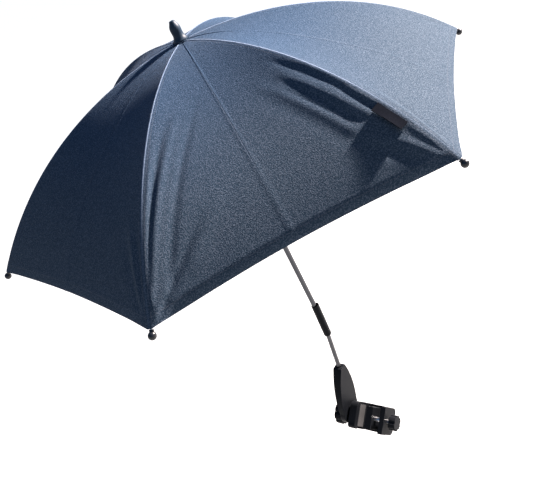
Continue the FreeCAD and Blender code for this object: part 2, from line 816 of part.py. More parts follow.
def screw_knob():
    """Lobed knob fixed on the screw."""
    disc = lobed_disc(screw_knob_radius, screw_knob_face, screw_knob_end, screw_knob_lobes,
                      screw_knob_scallop_radius, screw_knob_scallop_depth)
    hole = rod(screw_radius + seat_clearance, screw_knob_face - overrun, screw_end + face_clearance)
    return along_y(disc.cut(hole))


def clamp_nut():
    """Nut held in the outer arm."""
    nut = regular_prism(nut_flats / 2, hex_sides, arm_face, arm_face + nut_thickness - face_clearance)
    return along_y(nut.cut(rod(screw_radius + running_clearance, arm_face - overrun, arm_outside)))


# Build and export

shaft_pieces = {
    "crown": crown,
    "crown_wire": crown_wire,
    "finial": finial,
    "rosette": rosette,
    "shaft_tube": shaft_tube,
    "runner": runner,
    "runner_catch": runner_catch,
    "tilt_tongue": tilt_tongue,
    "tilt_sleeve": tilt_sleeve,
}
pole_pieces = {
    "tilt_fork": tilt_fork,
    "tilt_pin": tilt_pin,
    "lower_pole": lower_pole,
    "foot_plug": foot_plug,
}
holder_pieces = {
    "pole_holder": pole_holder,
    "pivot_washer": pivot_washer,
    "pivot_knob": pivot_knob,
    "knob_insert": knob_insert,
}
clamp_pieces = {
    "clamp_body": clamp_body,
    "clamp_pad": clamp_pad,
    "pivot_bolt": pivot_bolt,
    "friction_disc": friction_disc,
    "moving_jaw": moving_jaw,
    "jaw_pad": jaw_pad,
    "clamp_screw": clamp_screw,
    "screw_knob": screw_knob,
    "clamp_nut": clamp_nut,
}
ring_pieces = {
    "canopy_leaf": canopy_leaf,
    "rib": rib,
    "rib_tip": rib_tip,
    "rib_rivet": rib_rivet,
    "stretcher": stretcher,
}

nodes = {}
for frame, pieces in ((shaft_frame, shaft_pieces), (pole_frame, pole_pieces),
                      (holder_frame, holder_pieces), (clamp_frame, clamp_pieces)):
    for name, make in pieces.items():
        nodes[name] = moved(make(), frame)
for name, make in ring_pieces.items():
    for index, shape in enumerate(ring_of(make(), rib_count)):
        nodes[f"{name}_{index + 1}"] = moved(shape, shaft_frame)
nodes["flag_label"] = moved(around(flag_label(), label_rib - 1, rib_count), shaft_frame)

for name, shape in nodes.items():
    state = "valid" if shape.isValid() else "INVALID"
    print(name, state, "solids", len(shape.Solids), round(shape.Volume, 2))
    shape.exportStep(f"parts/{name}.step")
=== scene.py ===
"""Pram parasol: cloth cover, trim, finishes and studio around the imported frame."""
import json
import math

import bmesh
import bpy
from mathutils import Matrix, Vector

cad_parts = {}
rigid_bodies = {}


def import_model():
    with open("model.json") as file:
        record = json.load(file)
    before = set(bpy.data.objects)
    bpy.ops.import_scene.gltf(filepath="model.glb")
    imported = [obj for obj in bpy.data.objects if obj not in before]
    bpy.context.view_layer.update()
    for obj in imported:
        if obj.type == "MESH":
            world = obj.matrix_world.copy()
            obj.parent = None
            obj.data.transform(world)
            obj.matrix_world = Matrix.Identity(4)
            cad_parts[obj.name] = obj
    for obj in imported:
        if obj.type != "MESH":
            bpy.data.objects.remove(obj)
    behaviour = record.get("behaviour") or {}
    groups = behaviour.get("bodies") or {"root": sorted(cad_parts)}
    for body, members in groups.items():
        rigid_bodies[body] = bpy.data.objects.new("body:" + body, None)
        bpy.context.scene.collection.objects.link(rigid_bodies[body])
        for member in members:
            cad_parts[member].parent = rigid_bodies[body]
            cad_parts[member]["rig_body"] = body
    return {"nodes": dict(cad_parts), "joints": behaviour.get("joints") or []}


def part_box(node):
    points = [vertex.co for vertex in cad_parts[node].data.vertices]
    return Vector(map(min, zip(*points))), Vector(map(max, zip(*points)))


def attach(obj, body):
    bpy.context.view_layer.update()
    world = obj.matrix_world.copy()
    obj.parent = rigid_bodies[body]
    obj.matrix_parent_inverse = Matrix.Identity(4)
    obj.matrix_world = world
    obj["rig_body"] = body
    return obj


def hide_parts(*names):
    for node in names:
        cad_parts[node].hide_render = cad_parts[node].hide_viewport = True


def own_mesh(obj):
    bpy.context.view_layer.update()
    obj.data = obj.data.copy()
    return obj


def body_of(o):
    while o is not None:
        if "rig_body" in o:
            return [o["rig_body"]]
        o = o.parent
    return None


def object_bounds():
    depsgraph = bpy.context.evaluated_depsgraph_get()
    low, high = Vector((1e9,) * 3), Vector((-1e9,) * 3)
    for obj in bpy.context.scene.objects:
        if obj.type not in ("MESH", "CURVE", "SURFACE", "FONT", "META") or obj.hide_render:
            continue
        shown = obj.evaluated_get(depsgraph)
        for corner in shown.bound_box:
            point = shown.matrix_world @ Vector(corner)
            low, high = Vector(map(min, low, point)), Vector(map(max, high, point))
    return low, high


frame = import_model()
cad_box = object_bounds()
nodes = frame["nodes"]
joints = {joint["name"]: joint for joint in frame["joints"]}

MM = 0.001

# Cover, in metres: the same arc as the solids
RIB_COUNT = 6
CANOPY_RADIUS = 0.350
CANOPY_DEPTH = 0.159
RIB_TURN = math.radians(48)
SHAFT_LENGTH = 0.511
CLOTH_HOLE_RADIUS = 0.007
CLOTH_THICKNESS = 0.0006
CROWN_RADIUS = 0.015
GORE_DIP = 0.009
RIB_FLAT = 0.0023
HALF_STEP = math.pi / RIB_COUNT

# Ribs by number, as they lie round the shaft
RIBS = range(1, RIB_COUNT + 1)
RIGHT_RIB, BACK_RIGHT_RIB, BACK_LEFT_RIB, LEFT_RIB, FRONT_LEFT_RIB, FRONT_RIGHT_RIB = RIBS

tilt_pin = Vector(joints["shaft_tilt"]["pos_m"])
apex = tilt_pin + Vector((0, 0, SHAFT_LENGTH))
chord = math.hypot(CANOPY_RADIUS, CANOPY_DEPTH)
arc_radius = chord / (2 * math.sin(RIB_TURN / 2))
arc_start = math.atan2(CANOPY_DEPTH, CANOPY_RADIUS) - RIB_TURN / 2
arc_length = arc_radius * RIB_TURN
crown_share = (math.asin(math.sin(arc_start) + CROWN_RADIUS / arc_radius) - arc_start) / RIB_TURN


# Shader building

class Value:
    """A shader output that can stand in a sum."""

    def __init__(self, finish, socket):
        self.finish = finish
        self.socket = socket

    def maths(self, operation, left, right):
        return self.finish.node("ShaderNodeMath", {"operation": operation}, {0: left, 1: right})

    def __add__(self, other):
        return self.maths("ADD", self, other)

    def __radd__(self, other):
        return self.maths("ADD", other, self)

    def __sub__(self, other):
        return self.maths("SUBTRACT", self, other)

    def __rsub__(self, other):
        return self.maths("SUBTRACT", other, self)

    def __mul__(self, other):
        return self.maths("MULTIPLY", self, other)

    def __rmul__(self, other):
        return self.maths("MULTIPLY", other, self)

    def __lt__(self, other):
        return self.maths("LESS_THAN", self, other)

    def __gt__(self, other):
        return self.maths("GREATER_THAN", self, other)


class Finish:
    """One procedural material around a Principled shader."""

    def __init__(self, name, **constants):
        self.material = bpy.data.materials.new(name)
        self.material.use_nodes = True
        self.tree = self.material.node_tree
        self.shader = self.tree.nodes["Principled BSDF"]
        for key, value in constants.items():
            self.shader.inputs[key.replace("_", " ")].default_value = value

    def node(self, kind, settings=None, inputs=None, output=0):
        """Any node: its settings first, then the values or links of its sockets."""
        made = self.tree.nodes.new(kind)
        for key, value in (settings or {}).items():
            if key == "stops":
                self.set_stops(made.color_ramp, value)
            else:
                setattr(made, key, value)
        for key, value in (inputs or {}).items():
            self.feed(made.inputs[key], value)
        return Value(self, made.outputs[output])

    def set_stops(self, ramp, stops):
        for place, _ in stops[2:]:
            ramp.elements.new(place)
        for element, (place, colour) in zip(ramp.elements, stops):
            element.position = place
            element.color = (*colour, 1)

    def feed(self, socket, value):
        if isinstance(value, Value):
            self.tree.links.new(value.socket, socket)
        elif socket.type == "RGBA":
            socket.default_value = (*value, 1)
        else:
            socket.default_value = value

    def out(self, **sockets):
        """Feed the shader and hand over the finished material."""
        for key, value in sockets.items():
            self.feed(self.shader.inputs[key.replace("_", " ")], value)
        return self.material

    def place(self):
        return self.node("ShaderNodeTexCoord", output="Object")

    def layout(self, name):
        """A flat layout of a cloth, and its two coordinates."""
        whole = self.node("ShaderNodeUVMap", {"uv_map": name})
        parts = self.node("ShaderNodeSeparateXYZ", {}, {0: whole}).socket.node.outputs
        return whole, Value(self, parts["X"]), Value(self, parts["Y"])

    def line(self, value, middle, half_width):
        """1 within a band around a value, 0 outside it."""
        return self.node("ShaderNodeMath", {"operation": "COMPARE"},
                         {0: value, 1: middle, 2: half_width})

    def dashes(self, along, length, gap):
        """1 on the stitches of a sewn line, 0 in the gaps between them."""
        run = self.node("ShaderNodeMath", {"operation": "PINGPONG"}, {0: along, 1: length})
        return run > gap

    def threads(self, at, direction, scale, distortion=0.0):
        """Even ridges that follow each other in one direction."""
        return self.node("ShaderNodeTexWave", {"wave_type": "BANDS", "bands_direction": direction},
                         {"Vector": at, "Scale": scale, "Distortion": distortion})

    def step(self, value, low, high):
        """Soft step from 0 at low to 1 at high."""
        return self.node("ShaderNodeMapRange", {"interpolation_type": "SMOOTHSTEP"},
                         {"Value": value, "From Min": low, "From Max": high})

    def noise(self, scale, detail=3.0, rough=0.5, at=None):
        return self.node("ShaderNodeTexNoise", {},
                         {"Vector": at or self.place(), "Scale": scale, "Detail": detail,
                          "Roughness": rough}, "Fac")

    def stretched(self, stretch):
        return self.node("ShaderNodeMapping", {}, {"Vector": self.place(), "Scale": stretch})

    def ramp(self, value, *stops):
        return self.node("ShaderNodeValToRGB", {"stops": stops}, {"Fac": value})

    def blend(self, share, dark, light):
        return self.node("ShaderNodeMix", {"data_type": "RGBA"}, {0: share, 6: dark, 7: light}, 2)

    def spread(self, value, low, high):
        return self.node("ShaderNodeMapRange", {}, {"Value": value, "To Min": low, "To Max": high})

    def bump(self, height, strength, distance):
        return self.node("ShaderNodeBump", {},
                         {"Height": height, "Strength": strength, "Distance": distance})


class Sky(Finish):
    """The light from all round the object."""

    def __init__(self, name):
        self.material = bpy.data.worlds.new(name)
        self.material.use_nodes = True
        self.tree = self.material.node_tree
        self.shader = self.tree.nodes["Background"]


# Finishes

# Colours that a cloth varies between, from its dark flecks to its light ones
NAVY_CLOTH = (0.0115, 0.027, 0.053), (0.030, 0.051, 0.088)
GREY_CLOTH = (0.0175, 0.030, 0.046), (0.051, 0.066, 0.089)
BLANK_TAPE = (0.0018, 0.0024, 0.0042), (0.0036, 0.0046, 0.0078)

# Colours of the sewing and pressing: the seam's wear with a painted highlight, painted shade and a
# painted highlight along the crease, and the thread
SEAM_WEAR_AND_HIGHLIGHT = (0.14, 0.18, 0.25)
CREASE_PAINTED_SHADE = (0.006, 0.012, 0.024)
CREASE_PAINTED_HIGHLIGHT = (0.070, 0.092, 0.130)
THREAD = (0.070, 0.078, 0.098)

# Scales of the cloth's grain
FINE_GRAIN = 1100
NUB_GRAIN = 700
CLOUD_GRAIN = 11
WEAVE_GRAIN = 380
TAPE_GRAIN = 500

# Shares of a rib's length between which the cloth greys, the seam's wear and painted highlight
# fade, and the crease comes in and goes out again
GREYING = 0.2, 0.9
SEAM_FADE = 0.5, 0.85
CREASE_IN = 0.25, 0.45
CREASE_OUT = 0.66, 0.8

# Painted shade and painted highlight along the pressed crease as (middle, half width), in shares of
# the way from a rib to the gore's middle
CREASE_PAINTED_SHADE_LINE = 0.956, 0.004
CREASE_PAINTED_HIGHLIGHT_LINE = 0.949, 0.003

# Sewing in metres, and the squares of the way out from the seam where a band begins and ends; the
# seam's band is wear with a painted highlight
STITCH_LENGTH = 1.7 * MM
STITCH_GAP = 0.5 * MM
HEM_STITCH_LINE = 11 * MM, 0.4 * MM
SEAM_STITCH_LINE = 12.5 * MM ** 2, 2.4 * MM ** 2
SEAM_WEAR_AND_HIGHLIGHT_EDGE = 0.3 * MM ** 2, 2.2 * MM ** 2


def cover_cloth():
    """Navy plain weave, greyer towards the hem, with nubs, worn seams with a painted highlight,
    creases with painted shade and a painted highlight, and stitching.
    """
    finish = Finish("cover_cloth", Sheen_Weight=0.02, Sheen_Roughness=0.5, Specular_IOR_Level=0.03)
    flat, across, from_hem = finish.layout("cloth")
    _, spread, share = finish.layout("gore")
    fine = finish.noise(FINE_GRAIN, 1.0, 0.6)
    nubs = finish.noise(NUB_GRAIN, 1.0, 0.6)
    cloud = finish.noise(CLOUD_GRAIN, 3.0)
    greyed = finish.step(share + cloud * 0.16 - 0.08, *GREYING)
    fleck = finish.step(nubs * 0.6 + fine * 0.4, 0.46, 0.60)
    navy = finish.blend(fleck, *NAVY_CLOTH)
    grey = finish.blend(fleck, *GREY_CLOTH)
    colour = finish.blend(greyed, navy, grey)

    # Painted highlight and wear: a lighter band along the seam's ridge, fading down the rib
    seam_wear_and_highlight = 1 - finish.step(across * across, *SEAM_WEAR_AND_HIGHLIGHT_EDGE)
    seam = seam_wear_and_highlight * (1 - finish.step(share, *SEAM_FADE) * 0.85)
    colour = finish.blend(seam * finish.spread(nubs, 0.5, 1.0), colour, SEAM_WEAR_AND_HIGHLIGHT)

    # Painted shade in the pressed crease and a painted highlight beside it, over the middle of each
    # gore's length
    pressed = finish.step(share, *CREASE_IN) * (1 - finish.step(share, *CREASE_OUT))
    crease = finish.line(spread, *CREASE_PAINTED_SHADE_LINE) * pressed
    crease_highlight = finish.line(spread, *CREASE_PAINTED_HIGHLIGHT_LINE) * pressed
    colour = finish.blend(crease * 0.7, colour, CREASE_PAINTED_SHADE)
    colour = finish.blend(crease_highlight * 0.5, colour, CREASE_PAINTED_HIGHLIGHT)

    hem_dashes = finish.dashes(across, STITCH_LENGTH, STITCH_GAP)
    seam_dashes = finish.dashes(from_hem, STITCH_LENGTH, STITCH_GAP)
    stitch = (finish.line(from_hem, *HEM_STITCH_LINE) * hem_dashes
              + finish.line(across * across, *SEAM_STITCH_LINE) * seam_dashes)
    colour = finish.blend(stitch * 0.5, colour, THREAD)

    warp = finish.threads(flat, "X", WEAVE_GRAIN)
    weft = finish.threads(flat, "Y", WEAVE_GRAIN)
    weave = warp * weft * 0.3 + fine * 0.6 + nubs * 1.1 - crease * 0.4 - stitch * 0.4
    return finish.out(Base_Color=colour, Roughness=finish.spread(fine, 0.78, 0.94),
                      Normal=finish.bump(weave, 0.9, 0.6 * MM))


def label_tape():
    """Dense woven tape, left blank."""
    finish = Finish("label_tape", Specular_IOR_Level=0.01)
    ribbed = finish.threads(finish.place(), "X", TAPE_GRAIN, 0.6)
    colour = finish.blend(ribbed, *BLANK_TAPE)
    return finish.out(Base_Color=colour, Roughness=finish.spread(finish.noise(600), 0.75, 0.95),
                      Normal=finish.bump(ribbed, 0.3, 0.15 * MM))


def moulded(name, dark, light, rough, grain, shine, coat=0.0):
    """Moulded plastic with a fine grain, mottling and faint handling marks."""
    finish = Finish(name, Coat_Roughness=0.12, Specular_IOR_Level=shine)
    specks = finish.noise(grain, 4.0, 0.6)
    marks = finish.noise(14, 5.0, 0.65, finish.stretched((1, 1, 3)))
    colour = finish.blend(finish.spread(marks, 0.1, 0.9), dark, light)
    return finish.out(Base_Color=colour, Roughness=finish.spread(marks, rough - 0.1, rough + 0.12),
                      Coat_Weight=finish.spread(marks, coat, coat * 0.7),
                      Normal=finish.bump(specks, 0.12, 0.12 * MM))


def metal(name, dark, light, rough, stretch, streak):
    """Metal with drawn streaks, cloudy tarnish and small pits."""
    finish = Finish(name, Metallic=1.0)
    drawn = finish.noise(streak, 4.0, 0.6, finish.stretched(stretch))
    cloud = finish.noise(22, 4.0, 0.6)
    pits = finish.ramp(finish.noise(420, 2.0), (0.28, (0, 0, 0)), (0.36, (1, 1, 1)))
    tarnish = drawn * 0.5 + cloud * 0.5
    colour = finish.blend(tarnish, dark, light)
    colour = finish.blend(pits, tuple(0.6 * channel for channel in dark), colour)
    return finish.out(Base_Color=colour,
                      Roughness=finish.spread(tarnish, rough * 0.7, rough * 1.4),
                      Normal=finish.bump(drawn, 0.06, 0.08 * MM))


def soft_rubber():
    """Dull rubber with a pebbled skin and a little dust."""
    finish = Finish("pad_rubber", Specular_IOR_Level=0.35)
    pebble = finish.node("ShaderNodeTexVoronoi", {}, {"Vector": finish.place(), "Scale": 650},
                         "Distance")
    dust = finish.noise(30, 5.0, 0.65)
    colour = finish.blend(finish.spread(dust, 0.0, 0.8), (0.014, 0.014, 0.015), (0.05, 0.05, 0.052))
    return finish.out(Base_Color=colour, Roughness=finish.spread(dust, 0.75, 0.95),
                      Normal=finish.bump(pebble, 0.3, 0.2 * MM))


def studio_floor():
    """Pale matte floor, lit from underneath."""
    finish = Finish("studio_floor", Specular_IOR_Level=0.1, Emission_Strength=0.94)
    mottle = finish.noise(3, 3.0)
    colour = finish.blend(mottle, (0.20, 0.20, 0.20), (0.22, 0.22, 0.22))
    glow = finish.blend(mottle, (0.98, 0.98, 0.98), (1, 1, 1))
    return finish.out(Base_Color=colour, Roughness=finish.spread(mottle, 0.8, 0.9),
                      Emission_Color=glow)


def sky():
    """Pale horizon under a dim blue overhead light."""
    finish = Sky("sky")
    direction = finish.node("ShaderNodeTexCoord", output="Generated")
    height = finish.node("ShaderNodeSeparateXYZ", {}, {0: direction}, "Z")
    overhead = finish.step(height, 0.16, 0.46)
    return finish.out(Color=finish.blend(overhead, (0.98, 0.98, 0.98), (0.15, 0.28, 0.52)))


# Stretch of the streaks along a drawn tube
ALONG_TUBE = (60, 60, 2)

CLOTH = cover_cloth()
LABEL = label_tape()
GLOSS_BLACK = moulded("gloss_black", (0.004, 0.005, 0.007), (0.009, 0.010, 0.013),
                      rough=0.26, grain=240, shine=0.3, coat=0.1)
FINIAL_NAVY = moulded("finial_navy", (0.006, 0.014, 0.026), (0.012, 0.024, 0.042),
                      rough=0.48, grain=300, shine=0.14)
SATIN_BLACK = moulded("satin_black", (0.0025, 0.003, 0.004), (0.006, 0.0068, 0.0085),
                      rough=0.46, grain=900, shine=0.05)
GREY_PLASTIC = moulded("grey_plastic", (0.030, 0.031, 0.034), (0.055, 0.056, 0.060),
                       rough=0.5, grain=700, shine=0.2)
BRIGHT_TUBE = metal("bright_tube", (0.045, 0.047, 0.052), (0.085, 0.088, 0.095),
                    rough=0.18, stretch=ALONG_TUBE, streak=40)
SATIN_TUBE = metal("satin_tube", (0.050, 0.051, 0.055), (0.092, 0.094, 0.100),
                   rough=0.3, stretch=ALONG_TUBE, streak=60)
ZINC_STEEL = metal("zinc_steel", (0.40, 0.41, 0.43), (0.58, 0.59, 0.61),
                   rough=0.28, stretch=(12, 12, 12), streak=30)
BRASS = metal("turned_brass", (0.50, 0.34, 0.13), (0.72, 0.53, 0.25),
              rough=0.26, stretch=(10, 10, 10), streak=40)
RUBBER = soft_rubber()


# Mesh helpers

# Angle between two faces from which the edge between them shows as sharp
SHARP_ANGLE = math.radians(40)
SHARP_CLOTH_ANGLE = math.radians(70)
SHARP_MOULDING_ANGLE = math.radians(35)


def new_piece(name, bm, material, sharp_angle=SHARP_ANGLE):
    """Turn a bmesh into a shaded object."""
    mesh = bpy.data.meshes.new(name)
    bm.to_mesh(mesh)
    bm.free()
    for polygon in mesh.polygons:
        polygon.use_smooth = True
    mesh.set_sharp_from_angle(angle=sharp_angle)
    mesh.materials.append(material)
    piece = bpy.data.objects.new(name, mesh)
    bpy.context.scene.collection.objects.link(piece)
    return piece


def smoothstep(low, high, value):
    """Soft step from 0 at low to 1 at high."""
    share = min(max((value - low) / (high - low), 0), 1)
    return share * share * (3 - 2 * share)


def rib_rotation(rib):
    """Turn round the shaft from the right-hand rib to another one."""
    return Matrix.Rotation(2 * HALF_STEP * (rib - 1), 3, "Z")


def rib_turned(point, rib):
    """Turn a point from the plane of the right-hand rib to another rib and put it on the shaft."""
    return apex + rib_rotation(rib) @ point


def thin_shell(rows, thickness, layouts, closed=False):
    """Closed thin sheet from rows of points, thickened inwards, with its flat layouts."""
    bm = bmesh.new()
    outer = [[bm.verts.new(point) for point in row] for row in rows]
    last = len(rows[0]) if closed else len(rows[0]) - 1
    for upper, lower in zip(outer, outer[1:]):
        for i in range(last):
            after = (i + 1) % len(upper)
            bm.faces.new((upper[i], lower[i], lower[after], upper[after]))
    bm.normal_update()
    inner = {v: bm.verts.new(v.co - v.normal * thickness) for row in outer for v in row}
    for face in list(bm.faces):
        bm.faces.new([inner[v] for v in reversed(face.verts)])
    rim = [e for e in bm.edges if e.is_boundary and e.verts[0] in inner]
    for edge in rim:
        loop = edge.link_loops[0]
        first, second = loop.vert, loop.link_loop_next.vert
        bm.faces.new((second, first, inner[first], inner[second]))
    bm.normal_update()
    bm.verts.index_update()
    for name, places in layouts.items():
        layer = bm.loops.layers.uv.new(name)
        spots = [spot for row in places for spot in row]
        for face in bm.faces:
            for loop in face.loops:
                loop[layer].uv = spots[loop.vert.index % len(spots)]
    return bm


def sheet_area(rows):
    """Area of a grid of points."""
    total = 0
    for upper, lower in zip(rows, rows[1:]):
        for i in range(len(upper) - 1):
            total += (lower[i + 1] - upper[i]).cross(lower[i] - upper[i + 1]).length / 2
    return total


# Cover

# How each gore hangs, numbered by the rib before it:
# inward sag, hem rise and how far its hem rolls under
GORE_SAG_SHARE = {FRONT_LEFT_RIB: 0.020}
GORE_HEM_RISE = {FRONT_LEFT_RIB: 0.004}
GORE_HEM_ROLL = {FRONT_LEFT_RIB: 0.0065}
PLAIN_SAG_SHARE = 0.010
PLAIN_HEM_RISE = 0.002
PLAIN_HEM_ROLL = 0.0012

# Hem, seam and crease, in metres. Spreads are shares of the way from a rib to the middle of its
# gore, the doubling's rise is a share of the hem, and the loss is a share of the seam's height
HEM_DEPTH = 0.017
HEM_DOUBLING = 0.0002
HEM_DOUBLING_RISE = 0.2
HEM_ROLL_SPREAD = 0.02, 0.22
SEAM_HEIGHT = 0.0008
SEAM_WIDTH = 0.0012
SEAM_LOSS = 0.7
CREASE_SPREAD = 0.952
CREASE_SPREAD_WIDTH = 0.014
CREASE_HEIGHT = 0.0006

# Steps of a leaf from the rib outwards and down to the hem, closer where it faces the front
FACING_GRID = 52, 96
PLAIN_GRID = 28, 72
HEM_STEPS = 10
RIB_FLAT_STEPS = 4
COLUMN_CROWDING = 1.2

# Length over which a fold rises from its near end, in millimetres
FOLD_START = 16

# Where a fold dies away: in shares of its length, in spread, and beside the rib in metres
FOLD_END_FADE = 0.5, 1
FOLD_SPREAD_FADE = 0.75, 1
FOLD_RIB_FADE = RIB_FLAT, 2.5 * RIB_FLAT

# Folds beside each rib in millimetres: near end and far end as (back from the tip, out from the
# rib), width and height
FOLDS = {
    (FRONT_LEFT_RIB, 1): [((12, 3), (230, 6), 3.0, 1.3), ((22, 3), (240, 17), 3.4, -2.0),
                          ((12, 4), (260, 29), 4.6, 1.9), ((20, 22), (260, 48), 4.6, -1.7),
                          ((2, 3), (50, 34), 3.6, 2.2), ((3, 7), (82, 60), 4.4, -2.6),
                          ((24, 40), (110, 84), 8.0, 0.8)],
    (FRONT_LEFT_RIB, -1): [((4, 3), (110, 11), 4.0, -1.6), ((6, 5), (130, 24), 5.0, 1.9),
                           ((6, 9), (100, 36), 6.0, -1.4)],
    (FRONT_RIGHT_RIB, -1): [((80, 12), (210, 4), 3.4, -1.3), ((150, 9), (245, 12), 3.4, -0.9),
                            ((84, 18), (225, 21), 5.4, 1.4), ((82, 27), (205, 28), 3.0, -1.2),
                            ((84, 33), (195, 36), 2.6, -0.8), ((70, 39), (230, 41), 5.5, 0.8),
                            ((60, 52), (210, 56), 7.0, -0.4), ((95, 4), (160, 7), 2.2, 0.8),
                            ((6, 4), (75, 6), 2.4, 0.7), ((4, 9), (70, 28), 5.0, 1.4),
                            ((6, 24), (75, 48), 7.0, -1.5)],
    (FRONT_RIGHT_RIB, 1): [((10, 4), (130, 13), 4.5, 1.2), ((10, 6), (110, 22), 5.0, -1.0)],
    (RIGHT_RIB, -1): [((8, 4), (80, 11), 4.0, 1.2), ((8, 6), (70, 19), 5.0, -0.9)],
    (RIGHT_RIB, 1): [((8, 4), (100, 15), 5.0, 1.4)],
    (LEFT_RIB, 1): [((8, 4), (90, 11), 4.0, -1.4), ((8, 6), (100, 22), 5.0, 1.6)],
    (LEFT_RIB, -1): [((8, 4), (100, 17), 5.0, 1.4)],
    (BACK_LEFT_RIB, 1): [((8, 4), (140, 18), 5.0, 1.8), ((8, 6), (120, 28), 5.5, -1.4)],
    (BACK_LEFT_RIB, -1): [((8, 4), (110, 16), 5.0, 1.6)],
    (BACK_RIGHT_RIB, 1): [((8, 4), (130, 15), 5.0, 1.8), ((8, 6), (120, 26), 5.5, -1.4)],
    (BACK_RIGHT_RIB, -1): [((8, 4), (120, 19), 5.0, 1.6)],
}


def arc_point(share, depth=0.0):
    """Reach and drop along a rib's arc, some depth under the cover's outer face."""
    slope = arc_start + RIB_TURN * share
    reach = (arc_radius - depth) * math.sin(slope) - arc_radius * math.sin(arc_start)
    return reach, (arc_radius - depth) * math.cos(slope) - arc_radius * math.cos(arc_start)


def gore_of(rib, side):
    """Number of the gore on one side of a rib."""
    return rib if side > 0 else (rib - 2) % RIB_COUNT + 1


def cover_point(rib, share, side, spread, flat_share=1.0):
    """Point of the taut cover: spread 0 beside the rib, 1 midway to the next, where it dips."""
    gore = gore_of(rib, side)
    draw = 1 - (1 - spread) ** 2
    free_share = max(0, (share - crown_share) / (1 - crown_share))
    dip = GORE_DIP * draw * math.sin(math.pi * free_share) ** 2
    rise = GORE_HEM_RISE.get(gore, PLAIN_HEM_RISE)
    reach, drop = arc_point(share * (1 - draw * rise / arc_length), dip)
    sag = GORE_SAG_SHARE.get(gore, PLAIN_SAG_SHARE) - PLAIN_SAG_SHARE
    reach *= 1 - (PLAIN_SAG_SHARE + sag * free_share ** 2) * draw
    along = reach * (1 - spread * math.sin(HALF_STEP) ** 2)
    half_width = reach * math.cos(HALF_STEP) * math.sin(HALF_STEP)
    across = flat_share * RIB_FLAT + spread * (half_width - RIB_FLAT)
    return Vector((along, side * across, drop))


def fold_height(rib, side, share, across, spread):
    """How far the folds stand proud of the taut cover."""
    place = Vector(((1 - share) * arc_length / MM, across / MM))
    height = 0
    for near, far, width, rise in FOLDS[rib, side]:
        run = Vector(far) - Vector(near)
        offset = place - Vector(near)
        along = offset.dot(run) / run.length_squared
        rising = smoothstep(0, FOLD_START / run.length, along)
        fade = rising * (1 - smoothstep(*FOLD_END_FADE, along))
        height += rise * fade * math.exp(-((offset - run * along).length / width) ** 2)
    off_rib = smoothstep(*FOLD_RIB_FADE, across)
    return MM * height * off_rib * (1 - smoothstep(*FOLD_SPREAD_FADE, spread))


def trim_height(rib, side, share, across, spread):
    """Seam over the rib, pressed crease between the ribs, and the doubled hem that rolls under."""
    worn_flat = 1 - SEAM_LOSS * smoothstep(*SEAM_FADE, share)
    seam = SEAM_HEIGHT * math.exp(-(across / SEAM_WIDTH) ** 2) * worn_flat
    off_crease = (spread - CREASE_SPREAD) / CREASE_SPREAD_WIDTH
    crease = CREASE_HEIGHT * math.exp(-off_crease ** 2) if side > 0 else 0
    in_hem = max(0, 1 - (1 - share) * arc_length / HEM_DEPTH)
    roll = GORE_HEM_ROLL.get(gore_of(rib, side), PLAIN_HEM_ROLL)
    doubled = HEM_DOUBLING * smoothstep(0, HEM_DOUBLING_RISE, in_hem)
    return seam + crease + doubled - roll * in_hem ** 2 * smoothstep(*HEM_ROLL_SPREAD, spread)


def share_steps(count):
    """Stations from the crown to the hem, closer together in the hem."""
    first = CLOTH_HOLE_RADIUS / arc_length
    hem = 1 - HEM_DEPTH / arc_length
    body = [first + (hem - first) * i / count for i in range(count)]
    return body + [hem + (1 - hem) * i / HEM_STEPS for i in range(HEM_STEPS + 1)]


def leaf_columns(count):
    """Columns across a leaf as (side, spread, share of the flat over the rib)."""
    half = [(0, flat / RIB_FLAT_STEPS) for flat in range(1, RIB_FLAT_STEPS)]
    half += [((i / count) ** COLUMN_CROWDING, 1) for i in range(count + 1)]
    left = [(-1, spread, flat) for spread, flat in reversed(half)]
    return left + [(1, 0, 0)] + [(1, spread, flat) for spread, flat in half]


def leaf_rows(rib, shares, columns):
    """Points of one leaf with its folds and trim, still in the plane of the right-hand rib."""
    taut = [[cover_point(rib, share, *column) for column in columns] for share in shares]
    rows = []
    for i, share in enumerate(shares):
        before, after = taut[max(i - 1, 0)], taut[min(i + 1, len(taut) - 1)]
        row = []
        for j, (side, spread, _) in enumerate(columns):
            left, right = taut[i][max(j - 1, 0)], taut[i][min(j + 1, len(columns) - 1)]
            outward = (after[j] - before[j]).cross(right - left).normalized()
            place = share, abs(taut[i][j].y), spread
            lift = fold_height(rib, side, *place) + trim_height(rib, side, *place)
            row.append(taut[i][j] + outward * lift)
        rows.append(row)
    return rows


def canopy_leaf(rib):
    """Cloth carried by one rib, with its seam, hem and folds."""
    facing = rib in (FRONT_LEFT_RIB, FRONT_RIGHT_RIB)
    column_count, row_count = FACING_GRID if facing else PLAIN_GRID
    columns = leaf_columns(column_count)
    shares = share_steps(row_count)
    rows = leaf_rows(rib, shares, columns)
    layouts = {
        "cloth": [[(point.y, (1 - share) * arc_length) for point in row]
                  for share, row in zip(shares, rows)],
        "gore": [[(side * spread, share) for side, spread, _ in columns] for share in shares],
    }
    turned = [[rib_turned(point, rib) for point in row] for row in rows]
    shell = thin_shell(turned, CLOTH_THICKNESS, layouts)
    piece = new_piece(f"cover_leaf_{rib}", shell, CLOTH, SHARP_CLOTH_ANGLE)
    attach(piece, f"rib_arm_{rib}")
    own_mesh(piece)
    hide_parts(f"canopy_leaf_{rib}")
    sheet_area(turned)


for rib_number in RIBS:
    canopy_leaf(rib_number)


# Label and rosette

